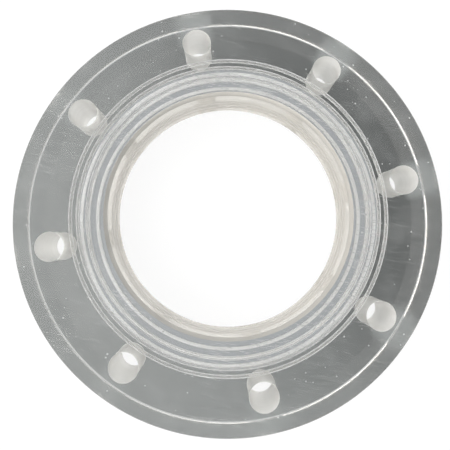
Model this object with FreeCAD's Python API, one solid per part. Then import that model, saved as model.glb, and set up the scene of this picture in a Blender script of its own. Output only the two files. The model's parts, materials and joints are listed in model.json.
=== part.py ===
import FreeCAD, Part
import os

# Full-face sight glass ring: a thick clear plate with a plain bore, a ring of
# bolt holes and three concentric seal grooves on each face.
# Millimetres. The ring lies flat, its axis is +Z and the origin is the centre
# of its rear face.

# Clear plate
plate_diameter = 268.0
plate_thickness = 30.0
rim_chamfer = 0.6
bore_diameter = 152.0
bore_chamfer = 2.0

# Bolt holes, straddling the centre lines
bolt_circle_diameter = 225.0
bolt_hole_diameter = 18.0
bolt_hole_count = 8
bolt_hole_chamfer = 0.2

# Seal grooves, the same three on both faces
outer_groove_diameter = 197.4
middle_groove_diameter = 188.2
inner_groove_diameter = 176.0
groove_width = 2.0
groove_depth = 1.8

# Seal rings: flat base, bevelled shoulders, flush with the face once clamped
seal_width = 1.5
seal_height = groove_depth
seal_bevel = 0.3

FULL_TURN = 360.0
AXIS_POINT = FreeCAD.Vector(0, 0, 0)
AXIS_UP = FreeCAD.Vector(0, 0, 1)

GROOVE_DIAMETERS = {
    "outer": outer_groove_diameter,
    "middle": middle_groove_diameter,
    "inner": inner_groove_diameter,
}


def point(radius, height):
    """A point of a section drawn in the XZ plane."""
    return FreeCAD.Vector(radius, 0, height)


def turned(corners):
    """Solid swept by a closed section turned once about the axis."""
    outline = Part.makePolygon(corners + [corners[0]])
    section = Part.Face(outline)
    return section.revolve(AXIS_POINT, AXIS_UP, FULL_TURN)


def plate_blank():
    """Turned plate with its bore, all four edges broken."""
    inner = bore_diameter / 2
    outer = plate_diameter / 2
    top = plate_thickness
    corners = [
        point(inner + bore_chamfer, 0),
        point(outer - rim_chamfer, 0),
        point(outer, rim_chamfer),
        point(outer, top - rim_chamfer),
        point(outer - rim_chamfer, top),
        point(inner + bore_chamfer, top),
        point(inner, top - bore_chamfer),
        point(inner, bore_chamfer),
    ]
    return turned(corners)


def bolt_hole_tool():
    """Drill with a small countersink at both faces, on the axis."""
    radius = bolt_hole_diameter / 2
    wide = radius + bolt_hole_chamfer
    top = plate_thickness
    corners = [
        point(0, 0),
        point(wide, 0),
        point(radius, bolt_hole_chamfer),
        point(radius, top - bolt_hole_chamfer),
        point(wide, top),
        point(0, top),
    ]
    return turned(corners)


def bolt_hole_tools():
    """The drill set round the bolt circle, half a pitch off the X axis."""
    pitch = FULL_TURN / bolt_hole_count
    tools = []
    for index in range(bolt_hole_count):
        tool = bolt_hole_tool()
        tool.translate(FreeCAD.Vector(bolt_circle_diameter / 2, 0, 0))
        tool.rotate(AXIS_POINT, AXIS_UP, pitch * (index + 0.5))
        tools.append(tool)
    return tools


def groove_tool(diameter):
    """Square-bottomed groove cutter for the rear face."""
    inner = (diameter - groove_width) / 2
    outer = (diameter + groove_width) / 2
    corners = [
        point(inner, 0),
        point(outer, 0),
        point(outer, groove_depth),
        point(inner, groove_depth),
    ]
    return turned(corners)


def seal_ring(diameter):
    """Seal for the rear face: base on the groove floor, top at the face."""
    inner = (diameter - seal_width) / 2
    outer = (diameter + seal_width) / 2
    corners = [
        point(inner + seal_bevel, 0),
        point(outer - seal_bevel, 0),
        point(outer, seal_bevel),
        point(outer, seal_height),
        point(inner, seal_height),
        point(inner, seal_bevel),
    ]
    return turned(corners)


def front_copy(shape):
    """The same feature on the front face."""
    middle = FreeCAD.Vector(0, 0, plate_thickness / 2)
    return shape.mirror(middle, AXIS_UP)


def clear_plate():
    cutters = bolt_hole_tools()
    for diameter in GROOVE_DIAMETERS.values():
        rear = groove_tool(diameter)
        cutters.append(rear)
        cutters.append(front_copy(rear))
    return plate_blank().cut(cutters)


def single_solid(shape):
    """The one solid of a shape, facing outwards."""
    solid = shape.Solids[0]
    if solid.Volume < 0:
        solid.reverse()
    return solid


def all_nodes():
    nodes = {"clear_plate": clear_plate()}
    for place, diameter in GROOVE_DIAMETERS.items():
        rear = seal_ring(diameter)
        nodes["rear_seal_" + place] = rear
        nodes["front_seal_" + place] = front_copy(rear)
    return nodes


def main():
    os.makedirs("parts", exist_ok=True)
    for name, shape in all_nodes().items():
        solid = single_solid(shape)
        solid.exportStep("parts/" + name + ".step")


main()
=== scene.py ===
import json
import math

import bmesh
import bpy
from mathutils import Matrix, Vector


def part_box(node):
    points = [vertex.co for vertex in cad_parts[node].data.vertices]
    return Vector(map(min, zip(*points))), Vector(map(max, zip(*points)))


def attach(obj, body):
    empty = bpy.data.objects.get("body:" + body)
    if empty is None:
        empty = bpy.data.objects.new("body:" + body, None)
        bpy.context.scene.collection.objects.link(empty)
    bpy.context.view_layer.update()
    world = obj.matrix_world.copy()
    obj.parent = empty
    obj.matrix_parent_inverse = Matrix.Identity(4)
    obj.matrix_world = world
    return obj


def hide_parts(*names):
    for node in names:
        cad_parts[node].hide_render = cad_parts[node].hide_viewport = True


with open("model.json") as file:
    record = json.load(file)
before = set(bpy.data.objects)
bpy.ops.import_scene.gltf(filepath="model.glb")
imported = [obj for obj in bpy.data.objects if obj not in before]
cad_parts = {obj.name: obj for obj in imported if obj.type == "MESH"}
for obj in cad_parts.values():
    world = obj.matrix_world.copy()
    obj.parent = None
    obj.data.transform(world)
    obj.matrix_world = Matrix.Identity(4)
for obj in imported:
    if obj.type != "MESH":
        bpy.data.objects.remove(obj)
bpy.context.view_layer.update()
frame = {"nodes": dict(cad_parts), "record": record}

# ---------------------------------------------------------------- sizes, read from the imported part
MM = 0.001
mounts = {m["name"]: m for m in frame["record"]["mounts"]}
plate_low, plate_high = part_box("clear_plate")
THICKNESS = plate_high.z - plate_low.z
RIM_RADIUS = plate_high.x
BORE_RADIUS = mounts["bore"]["dims"]["r_mm"] * MM
HOLE_CIRCLE = mounts["bolts"]["dims"]["pcd_mm"] * MM / 2
HOLE_RADIUS = mounts["bolts"]["dims"]["hole_r_mm"] * MM
HOLE_COUNT = mounts["bolts"]["dims"]["count"]

# Edge breaks of the plate and the seals, and the room round a seal in its groove.
RIM_CHAMFER = 0.6 * MM
BORE_CHAMFER = 2.0 * MM
HOLE_CHAMFER = 0.2 * MM
GROOVE_MARGIN = 0.25 * MM
SEAL_BEVEL = 0.3 * MM
SEAL_PLAY = 0.05 * MM
RINGS = ("outer", "middle", "inner")

# Flat sides to a full turn, to a bolt hole and to a seal's rounded shoulder. Edges that bend more
# than the sharp angle are shaded as corners.
TURN_STEPS = 384
HOLE_STEPS = 96
SHOULDER_STEPS = 6
SHARP_ANGLE = math.radians(25)

# ---------------------------------------------------------------- finishes
ACRYLIC_IOR = 1.49
SILICONE_IOR = 1.41

# Turned surfaces: lines to the metre and usual depth of the feed lines, and the colour of their haze.
FEED_DENSITY = 2600.0
GROOVE_FEED_DENSITY = 3000.0
FEED_DEPTH = 0.01 * MM
FEED_HAZE = (0.86, 0.85, 0.83, 1)

# Drilled surfaces: stretch of the noise that makes the rings down the wall, and depth of the marks.
DRILL_STRETCH = (40, 40, 1500)
DRILL_DEPTH = 0.12 * MM

# Marks on the polished faces. A scratch is its direction in radians, its length, its width and the
# noise level above which it shows.
SCRATCHES = (
    (0.5, 16 * MM, 0.35 * MM, 0.74),
    (2.0, 12 * MM, 0.30 * MM, 0.74),
    (1.2, 20 * MM, 0.35 * MM, 0.75),
)
SCRATCH_DEPTH = 0.02 * MM
SCRATCH_ROUGHNESS = 0.15
SCRATCH_WHITE = 0.12
SMEAR_WHITE = 0.05
SPECK_WHITE = 0.45
SPECK_SPACING = 6 * MM
SPECK_SIZE = 0.6 * MM
MARK_COLOUR = (0.86, 0.87, 0.87, 1)

# The grey tint of the rear face. Outside the edge radius it is painted shade, darkest at one side of the
# ring and thinner towards the bright side of the dome, and thinner again past the bolt holes as painted
# light. Inside that radius it is a light film.
PAINTED_SHADE_ACROSS = (-0.77, -0.64, 0)
PAINTED_SHADE_SPAN = (-100 * MM, 110 * MM)
PAINTED_SHADE_DARKEST = (0.0155, 0.0168, 0.0158, 1)
PAINTED_SHADE_LIGHTEST = (0.085, 0.0925, 0.0885, 1)
PAINTED_LIGHT_PAST_HOLES = (0.105, 0.115, 0.110, 1)
TINT_INSIDE = (0.16, 0.172, 0.18, 1)
TINT_EDGE = 100.5 * MM

# ---------------------------------------------------------------- studio
FLOOR_HALF = 3.0
FLOOR_DROP = 0.3 * MM
FLOOR_GLOW = 0.86
FLOOR_ROUGHNESS = 0.85
BACKDROP = 1.0

# Strength of the dome: how far towards the bright side it changes and from what to what, then how high
# up it dims overhead and near the horizon, and by how much. Its colour turns warm on the bright side.
BRIGHT_SIDE = Vector((-0.95, -0.30, 0))
SIDE_SPAN = (-0.8, 0.85)
SIDE_RANGE = (0.55, 4.6)
OVERHEAD_SPAN = (0.6, 0.9)
OVERHEAD = 0.35
HORIZON_SPAN = (0.0, 0.45)
HORIZON = 0.3
WARMTH_SPAN = (-0.6, 0.6)
COOL_LIGHT = (0.94, 0.98, 1.0, 1)
WARM_LIGHT = (1.0, 0.985, 0.96, 1)

# Camera above the ring, a little below its centre line, looking almost straight down.
CAMERA_PLACE = Vector((-0.11 * MM, -16.33 * MM, 247.57 * MM))
CAMERA_TURN = [math.radians(a) for a in (5.036, -0.712, 11.74)]
CAMERA_LENS = 28.01
CAMERA_SENSOR = 36
CAMERA_SHIFT = (-0.0064, -0.0387)
CAMERA_CLIP = 5 * MM
LIGHT_BOUNCES = 24


# ---------------------------------------------------------------- mesh code
def circle(bm, centre, radius, height, steps):
    """Ring of vertices round centre, parallel to the floor."""
    ring = []
    for step in range(steps):
        angle = 2 * math.pi * step / steps
        around = Vector((radius * math.cos(angle), radius * math.sin(angle), height))
        ring.append(bm.verts.new(centre + around))
    return ring


def band(bm, low, high, slot=0):
    """Smooth faces between two rings of the same number of vertices."""
    for step in range(len(low)):
        after = (step + 1) % len(low)
        face = bm.faces.new((low[step], low[after], high[after], high[step]))
        face.material_index = slot
        face.smooth = True


def finished(bm, name, materials):
    """The bmesh as an object in the scene, its faces pointing outwards."""
    bmesh.ops.recalc_face_normals(bm, faces=bm.faces)
    mesh = bpy.data.meshes.new(name)
    bm.to_mesh(mesh)
    bm.free()
    for material in materials:
        mesh.materials.append(material)
    obj = bpy.data.objects.new(name, mesh)
    bpy.context.scene.collection.objects.link(obj)
    return obj


def revolve(name, profile, materials):
    """Closed profile of (radius, height, material index) turned about Z."""
    bm = bmesh.new()
    axis = Vector((0, 0, 0))
    rings = [circle(bm, axis, radius, height, TURN_STEPS) for radius, height, _ in profile]
    for index, (_, _, slot) in enumerate(profile):
        band(bm, rings[index], rings[(index + 1) % len(profile)], slot)
    obj = finished(bm, name, materials)
    obj.data.set_sharp_from_angle(angle=SHARP_ANGLE)
    return obj


def hole_cutters(material):
    """One mesh with every bolt-hole drill, countersunk at both faces."""
    wide = HOLE_RADIUS + HOLE_CHAMFER
    spare = 5 * MM
    drill = [
        (wide, -spare),
        (wide, 0),
        (HOLE_RADIUS, HOLE_CHAMFER),
        (HOLE_RADIUS, THICKNESS - HOLE_CHAMFER),
        (wide, THICKNESS),
        (wide, THICKNESS + spare),
    ]
    bm = bmesh.new()
    for hole in range(HOLE_COUNT):
        turn = 2 * math.pi * (hole + 0.5) / HOLE_COUNT
        centre = Vector((HOLE_CIRCLE * math.cos(turn), HOLE_CIRCLE * math.sin(turn), 0))
        rings = [circle(bm, centre, radius, height, HOLE_STEPS) for radius, height in drill]
        for low, high in zip(rings, rings[1:]):
            band(bm, low, high)
        bm.faces.new(rings[0][::-1])
        bm.faces.new(rings[-1])
    return finished(bm, "hole_cutters", [material])


def cut(obj, cutter):
    """obj with the cutter taken away, as a plain mesh with no modifier left."""
    modifier = obj.modifiers.new("cut", "BOOLEAN")
    modifier.operation = "DIFFERENCE"
    modifier.solver = "EXACT"
    modifier.object = cutter
    modifier.material_mode = "TRANSFER"
    graph = bpy.context.evaluated_depsgraph_get()
    mesh = bpy.data.meshes.new_from_object(obj.evaluated_get(graph))
    obj.modifiers.clear()
    obj.data = mesh
    mesh.set_sharp_from_angle(angle=SHARP_ANGLE)
    bpy.data.objects.remove(cutter)


# ---------------------------------------------------------------- node helpers
class Nodes:
    """Short calls for building one node tree."""

    def __init__(self, tree):
        self.tree = tree

    def add(self, kind, inputs=None, **settings):
        node = self.tree.nodes.new(kind)
        for key, value in settings.items():
            setattr(node, key, value)
        for key, value in (inputs or {}).items():
            self.put(node.inputs[key], value)
        return node

    def put(self, socket, value):
        if isinstance(value, bpy.types.NodeSocket):
            self.tree.links.new(value, socket)
        else:
            socket.default_value = value

    def math(self, operation, a, b=0.0):
        return self.add("ShaderNodeMath", {0: a, 1: b}, operation=operation).outputs[0]

    def ramp(self, value, low, high, bottom=0.0, top=1.0, shape="SMOOTHSTEP"):
        """value mapped from low..high to bottom..top."""
        inputs = {"Value": value, "From Min": low, "From Max": high, "To Min": bottom, "To Max": top}
        return self.add("ShaderNodeMapRange", inputs, interpolation_type=shape).outputs[0]

    def mix(self, factor, a, b):
        node = self.add("ShaderNodeMix", {0: factor}, data_type="RGBA")
        self.put(node.inputs[6], a)
        self.put(node.inputs[7], b)
        return node.outputs[2]

    def along(self, vector, direction):
        """How far vector reaches in a direction."""
        node = self.add("ShaderNodeVectorMath", {0: vector, 1: direction}, operation="DOT_PRODUCT")
        return node.outputs["Value"]


class Finish(Nodes):
    """One material's nodes, with the patterns that the finishes are made of."""

    def __init__(self, name):
        self.material = bpy.data.materials.new(name)
        self.material.use_nodes = True
        super().__init__(self.material.node_tree)
        self.shader = self.tree.nodes["Principled BSDF"]
        self.output = self.tree.nodes["Material Output"]
        self.position = self.add("ShaderNodeTexCoord").outputs["Object"]

    def noise(self, scale, detail, vector=None):
        """Cloudy noise with about scale lumps to the metre, and detail finer layers."""
        inputs = {"Vector": vector or self.position, "Scale": scale, "Detail": detail}
        return self.add("ShaderNodeTexNoise", inputs).outputs[0]

    def radius(self):
        """Distance from the axis of the ring."""
        flat = self.add("ShaderNodeVectorMath", {0: self.position, 1: (1, 1, 0)}, operation="MULTIPLY")
        return self.add("ShaderNodeVectorMath", {0: flat.outputs[0]}, operation="LENGTH").outputs[1]

    def near_hole(self):
        """1 on the line out through each bolt hole, falling off to 0 between the holes."""
        split = self.add("ShaderNodeSeparateXYZ", {0: self.position})
        angle = self.math("ARCTAN2", split.outputs[1], split.outputs[0])
        wave = self.math("COSINE", self.math("MULTIPLY", angle, HOLE_COUNT))
        return self.ramp(wave, -0.6, -1.0)

    def height(self):
        """Height above the rear face."""
        return self.add("ShaderNodeSeparateXYZ", {0: self.position}).outputs[2]

    def scratches(self, turn, length, width, level):
        """Fine straight marks along one direction: 1 on a mark, 0 elsewhere."""
        size = (1 / length, 1 / width, 1 / length)
        inputs = {"Vector": self.position, "Rotation": (0, 0, turn), "Scale": size}
        stretched = self.add("ShaderNodeMapping", inputs).outputs[0]
        return self.ramp(self.noise(1.0, 0.0, stretched), level, level + 0.04)

    def specks(self, spacing, size):
        """Small round dots scattered over the surface."""
        inputs = {"Vector": self.position, "Scale": 1 / spacing, "Randomness": 1.0}
        cells = self.add("ShaderNodeTexVoronoi", inputs)
        chance = self.add("ShaderNodeSeparateColor", {0: cells.outputs["Color"]}).outputs[0]
        reach = self.math("MULTIPLY", chance, size / spacing)
        return self.math("LESS_THAN", cells.outputs["Distance"], reach)

    def feed_lines(self, density):
        """Noise in radius and height only, so its lines run round the axis."""
        across = self.math("MULTIPLY", self.radius(), density)
        along = self.math("MULTIPLY", self.height(), density)
        section = self.add("ShaderNodeCombineXYZ", {0: across, 1: along})
        return self.noise(1.0, 2.0, section.outputs[0])

    def bump(self, height, distance):
        """Normal of a surface that height raises by up to distance."""
        return self.add("ShaderNodeBump", {"Distance": distance, "Height": height}).outputs[0]


# ---------------------------------------------------------------- materials
def clear_shader(n, colour, roughness, normal=None):
    """Sets the material's own shader to clear plastic."""
    n.put(n.shader.inputs["Base Color"], colour)
    n.put(n.shader.inputs["Roughness"], roughness)
    n.shader.inputs["IOR"].default_value = ACRYLIC_IOR
    n.shader.inputs["Transmission Weight"].default_value = 1.0
    if normal is not None:
        n.put(n.shader.inputs["Normal"], normal)


def whitened(n, amount, colour, translucent_share, normal=None):
    """Mixes a milky white scatter over the clear shader."""
    diffuse = n.add("ShaderNodeBsdfDiffuse", {"Color": colour})
    through = n.add("ShaderNodeBsdfTranslucent", {"Color": colour})
    if normal is not None:
        n.put(diffuse.inputs["Normal"], normal)
        n.put(through.inputs["Normal"], normal)
    shares = {0: translucent_share, 1: diffuse.outputs[0], 2: through.outputs[0]}
    milk = n.add("ShaderNodeMixShader", shares)
    both = n.add("ShaderNodeMixShader", {0: amount, 1: n.shader.outputs[0], 2: milk.outputs[0]})
    n.tree.links.new(both.outputs[0], n.output.inputs["Surface"])


def polish(n, tint):
    """Large flat faces: polished, lightly scratched and smeared, with a few specks."""
    first, *others = [n.scratches(*scratch) for scratch in SCRATCHES]
    lines = first
    for other in others:
        lines = n.math("MAXIMUM", lines, other)
    handled = n.ramp(n.noise(18.0, 2.0), 0.40, 0.60)
    lines = n.math("MULTIPLY", lines, handled)
    smear = n.ramp(n.noise(45.0, 5.0), 0.5, 0.72, 0.0, SMEAR_WHITE)
    dots = n.math("MULTIPLY", n.specks(SPECK_SPACING, SPECK_SIZE), SPECK_WHITE)
    roughness = n.math("MULTIPLY", lines, SCRATCH_ROUGHNESS)
    clear_shader(n, tint, roughness, n.bump(lines, SCRATCH_DEPTH))
    marks = n.math("ADD", n.math("MULTIPLY", lines, SCRATCH_WHITE), n.math("ADD", smear, dots))
    whitened(n, marks, MARK_COLOUR, 0.5)


def front_face():
    """The front face is clear."""
    n = Finish("front_face_acrylic")
    polish(n, (0.96, 0.97, 0.97, 1))
    return n.material


def painted_shade_rear_face():
    """The rear face carries the grey tint: painted shade across the flange and painted light past the
    bolt holes.
    """
    n = Finish("rear_face_painted_shade_acrylic")
    # Painted shade: the flange is darker at one side and lighter towards the bright side of the dome.
    lit = n.ramp(n.along(n.position, PAINTED_SHADE_ACROSS), *PAINTED_SHADE_SPAN)
    painted_flange_light_and_shade = n.mix(lit, PAINTED_SHADE_DARKEST, PAINTED_SHADE_LIGHTEST)
    # Painted light: a lighter tint in streaks out past each bolt hole.
    holes_end = HOLE_CIRCLE + HOLE_RADIUS
    beyond = n.ramp(n.radius(), holes_end - MM, holes_end + 2 * MM)
    painted_flange_light_and_shade = n.mix(n.math("MULTIPLY", beyond, n.near_hole()), painted_flange_light_and_shade, PAINTED_LIGHT_PAST_HOLES)
    outside = n.ramp(n.radius(), TINT_EDGE, TINT_EDGE + 3 * MM)
    polish(n, n.mix(outside, TINT_INSIDE, painted_flange_light_and_shade))
    return n.material


def turned_face(name, colour, roughness, white, depth=FEED_DEPTH, haze=FEED_HAZE):
    """Turned rim, bore wall or edge, with fine feed lines round the axis. roughness and white are
    each a least and a most."""
    n = Finish(name)
    feed = n.feed_lines(FEED_DENSITY)
    normal = n.bump(feed, depth)
    clear_shader(n, colour, n.ramp(feed, 0.3, 0.8, *roughness), normal)
    whitened(n, n.ramp(feed, 0.3, 0.7, *white), haze, 0.5, normal)
    return n.material


def turned_edge():
    """Narrow chamfers, tinted grey as painted shade, which look darker than the faces beside them."""
    return turned_face("turned_edge_acrylic", (0.34, 0.345, 0.345, 1), (0.02, 0.08), (0.02, 0.06))


def turned_rim():
    """Deeper feed lines, which spread reflections up and down but not round the rim."""
    clear = (0.94, 0.95, 0.95, 1)
    return turned_face("turned_rim_acrylic", clear, (0.06, 0.14), (0.0, 0.03), 0.07 * MM)


def turned_bore():
    """The finest turning. Its darker, warm clear tint is painted shade that dims the light through the
    wall, and its cream haze is partly a satin bloom and partly painted light.
    """
    clear = (0.60, 0.57, 0.52, 1)
    cream_haze_and_painted_light = (0.78, 0.735, 0.65, 1)
    return turned_face("turned_bore_acrylic", clear, (0.0, 0.03), (0.26, 0.34), 0.002 * MM, cream_haze_and_painted_light)


def drilled_hole():
    """Bolt-hole walls: frosted by the drill, with rings down the wall."""
    n = Finish("frosted_acrylic")
    stretched = n.add("ShaderNodeMapping", {"Vector": n.position, "Scale": DRILL_STRETCH}).outputs[0]
    feed = n.noise(1.0, 4.0, stretched)
    chips = n.noise(900.0, 4.0)
    normal = n.bump(n.math("ADD", feed, n.math("MULTIPLY", chips, 0.6)), DRILL_DEPTH)
    clear_shader(n, (0.93, 0.92, 0.89, 1), n.ramp(feed, 0.2, 0.8, 0.35, 0.6), normal)
    whitened(n, n.ramp(feed, 0.25, 0.75, 0.55, 0.75), (0.74, 0.73, 0.705, 1), 0.5, normal)
    return n.material


def groove_face(name, white):
    """Seal grooves: turned with a narrow tool, satin rather than polished."""
    n = Finish(name)
    feed = n.feed_lines(GROOVE_FEED_DENSITY)
    normal = n.bump(feed, 0.004 * MM)
    clear_shader(n, (0.96, 0.965, 0.965, 1), n.ramp(feed, 0.2, 0.8, 0.04, 0.12), normal)
    whitened(n, n.ramp(feed, 0.25, 0.75, *white), (0.95, 0.95, 0.95, 1), 0.4, normal)
    return n.material


def seal_rubber():
    """Milky silicone: light goes through it, softly scattered."""
    n = Finish("milky_silicone")
    cloud = n.noise(120.0, 4.0)
    grain = n.noise(1400.0, 3.0)
    n.shader.inputs["IOR"].default_value = SILICONE_IOR
    n.shader.inputs["Transmission Weight"].default_value = 0.96
    milk = n.mix(cloud, (0.92, 0.915, 0.90, 1), (0.96, 0.955, 0.95, 1))
    n.put(n.shader.inputs["Base Color"], milk)
    n.put(n.shader.inputs["Roughness"], n.ramp(grain, 0.3, 0.7, 0.04, 0.10))
    n.put(n.shader.inputs["Normal"], n.bump(grain, 0.01 * MM))
    return n.material


# ---------------------------------------------------------------- the object
# Places of the plate's materials in its list of materials.
POLISHED, EDGE, FROSTED, GROOVED, REAR, SATIN, RIM, BORE = range(8)


def seal_width(node):
    """Radial width of a seal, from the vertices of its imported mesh."""
    radii = [v.co.xy.length for v in frame["nodes"][node].data.vertices]
    return max(radii) - min(radii)


def groove_spans():
    """(inner radius, outer radius, depth) of each groove, from the innermost out, read from its seal."""
    spans = []
    for ring in RINGS:
        node = "rear_seal_" + ring
        low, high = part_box(node)
        inner = high.x - seal_width(node) - GROOVE_MARGIN
        spans.append((inner, high.x + GROOVE_MARGIN, high.z - low.z))
    return sorted(spans)


def plate_profile():
    """Half section of the plate, round from the rear bore edge."""
    top = THICKNESS
    points = [(BORE_RADIUS, BORE_CHAMFER, EDGE), (BORE_RADIUS + BORE_CHAMFER, 0, REAR)]
    for inner, outer, depth in groove_spans():
        points += [(inner, 0, GROOVED), (inner, depth, GROOVED)]
        points += [(outer, depth, GROOVED), (outer, 0, REAR)]
    points += [
        (RIM_RADIUS - RIM_CHAMFER, 0, EDGE),
        (RIM_RADIUS, RIM_CHAMFER, RIM),
        (RIM_RADIUS, top - RIM_CHAMFER, EDGE),
        (RIM_RADIUS - RIM_CHAMFER, top, POLISHED),
    ]
    for inner, outer, depth in reversed(groove_spans()):
        floor = top - depth
        points += [(outer, top, GROOVED), (outer, floor, SATIN)]
        points += [(inner, floor, GROOVED), (inner, top, POLISHED)]
    points += [(BORE_RADIUS + BORE_CHAMFER, top, BORE), (BORE_RADIUS, top - BORE_CHAMFER, BORE)]
    return points


def make_plate():
    materials = [
        front_face(),
        turned_edge(),
        drilled_hole(),
        groove_face("white_groove_acrylic", (0.65, 0.9)),
        painted_shade_rear_face(),
        groove_face("satin_groove_acrylic", (0.10, 0.17)),
        turned_rim(),
        turned_bore(),
    ]
    plate = revolve("clear_plate_body", plate_profile(), materials)
    cut(plate, hole_cutters(materials[FROSTED]))
    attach(plate, "root")
    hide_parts("clear_plate")


def seal_profile(node):
    """Half section of a seal: flat base off the groove floor, rounded shoulders."""
    low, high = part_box(node)
    outer = high.x - SEAL_PLAY / 2
    inner = outer - seal_width(node) + SEAL_PLAY
    front = high.z > THICKNESS / 2
    face = high.z if front else low.z
    base = low.z + SEAL_PLAY if front else high.z - SEAL_PLAY
    inward = -1 if front else 1
    shoulder = []
    for step in range(SHOULDER_STEPS + 1):
        angle = math.pi / 2 * step / SHOULDER_STEPS
        aside = SEAL_BEVEL * (1 - math.cos(angle))
        height = face + inward * SEAL_BEVEL * (1 - math.sin(angle))
        shoulder.append((aside, height))
    points = [(inner, base, 0), (outer, base, 0)]
    points += [(outer - aside, height, 0) for aside, height in shoulder]
    points += [(inner + aside, height, 0) for aside, height in reversed(shoulder)]
    return points


def make_seals():
    rubber = seal_rubber()
    for side in ("front", "rear"):
        for ring in RINGS:
            node = side + "_seal_" + ring
            seal = revolve(node + "_ring", seal_profile(node), [rubber])
            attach(seal, "root")
            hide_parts(node)


# ---------------------------------------------------------------- floor, light and camera
def make_floor():
    """Pale floor, softly lit from within."""
    mesh = bpy.data.meshes.new("studio_floor")
    low, high = -FLOOR_HALF, FLOOR_HALF
    corners = [(low, low, 0), (high, low, 0), (high, high, 0), (low, high, 0)]
    mesh.from_pydata(corners, [], [(0, 1, 2, 3)])
    floor = bpy.data.objects.new("studio_floor", mesh)
    floor.location.z = -FLOOR_DROP
    bpy.context.scene.collection.objects.link(floor)
    n = Finish("pale_floor")
    tone = n.mix(n.noise(6.0, 5.0), (0.09, 0.09, 0.09, 1), (0.11, 0.11, 0.11, 1))
    n.put(n.shader.inputs["Base Color"], tone)
    n.shader.inputs["Roughness"].default_value = FLOOR_ROUGHNESS
    n.shader.inputs["Emission Color"].default_value = (1, 1, 1, 1)
    n.shader.inputs["Emission Strength"].default_value = FLOOR_GLOW
    mesh.materials.append(n.material)


def make_world():
    """Soft studio dome, brighter towards one side, dimmer overhead and at the horizon. The camera sees
    a plain white backdrop in its place."""
    world = bpy.data.worlds.new("studio")
    bpy.context.scene.world = world
    world.use_nodes = True
    n = Nodes(world.node_tree)
    dome = world.node_tree.nodes["Background"]
    output = world.node_tree.nodes["World Output"]
    direction = n.add("ShaderNodeTexCoord").outputs["Generated"]
    up = n.add("ShaderNodeSeparateXYZ", {0: direction}).outputs[2]
    towards = n.along(direction, BRIGHT_SIDE)
    side = n.ramp(towards, *SIDE_SPAN, *SIDE_RANGE, shape="LINEAR")
    overhead = n.ramp(up, *OVERHEAD_SPAN, 1.0, OVERHEAD, shape="LINEAR")
    horizon = n.ramp(up, *HORIZON_SPAN, HORIZON, 1.0, shape="LINEAR")
    warmth = n.ramp(towards, *WARMTH_SPAN, shape="LINEAR")
    n.put(dome.inputs["Color"], n.mix(warmth, COOL_LIGHT, WARM_LIGHT))
    n.put(dome.inputs["Strength"], n.math("MULTIPLY", side, n.math("MULTIPLY", horizon, overhead)))
    backdrop = n.add("ShaderNodeBackground", {"Color": (1, 1, 1, 1), "Strength": BACKDROP})
    seen = n.add("ShaderNodeLightPath").outputs["Is Camera Ray"]
    both = n.add("ShaderNodeMixShader", {0: seen, 1: dome.outputs[0], 2: backdrop.outputs[0]})
    n.put(output.inputs["Surface"], both.outputs[0])


def make_camera():
    """Camera of the photograph."""
    camera = bpy.data.cameras.new("camera")
    camera.sensor_width = CAMERA_SENSOR
    camera.lens = CAMERA_LENS
    camera.shift_x, camera.shift_y = CAMERA_SHIFT
    camera.clip_start = CAMERA_CLIP
    obj = bpy.data.objects.new("camera", camera)
    obj.location = CAMERA_PLACE
    obj.rotation_euler = CAMERA_TURN
    bpy.context.scene.collection.objects.link(obj)
    bpy.context.scene.camera = obj


def set_light_paths():
    """Plain view of the colours, and enough bounces for light to cross the clear plate."""
    scene = bpy.context.scene
    scene.view_settings.view_transform = "Standard"
    scene.cycles.max_bounces = LIGHT_BOUNCES
    scene.cycles.transmission_bounces = LIGHT_BOUNCES
    scene.cycles.glossy_bounces = LIGHT_BOUNCES
    scene.cycles.transparent_max_bounces = LIGHT_BOUNCES


make_plate()
make_seals()
make_floor()
make_world()
make_camera()
set_light_paths()
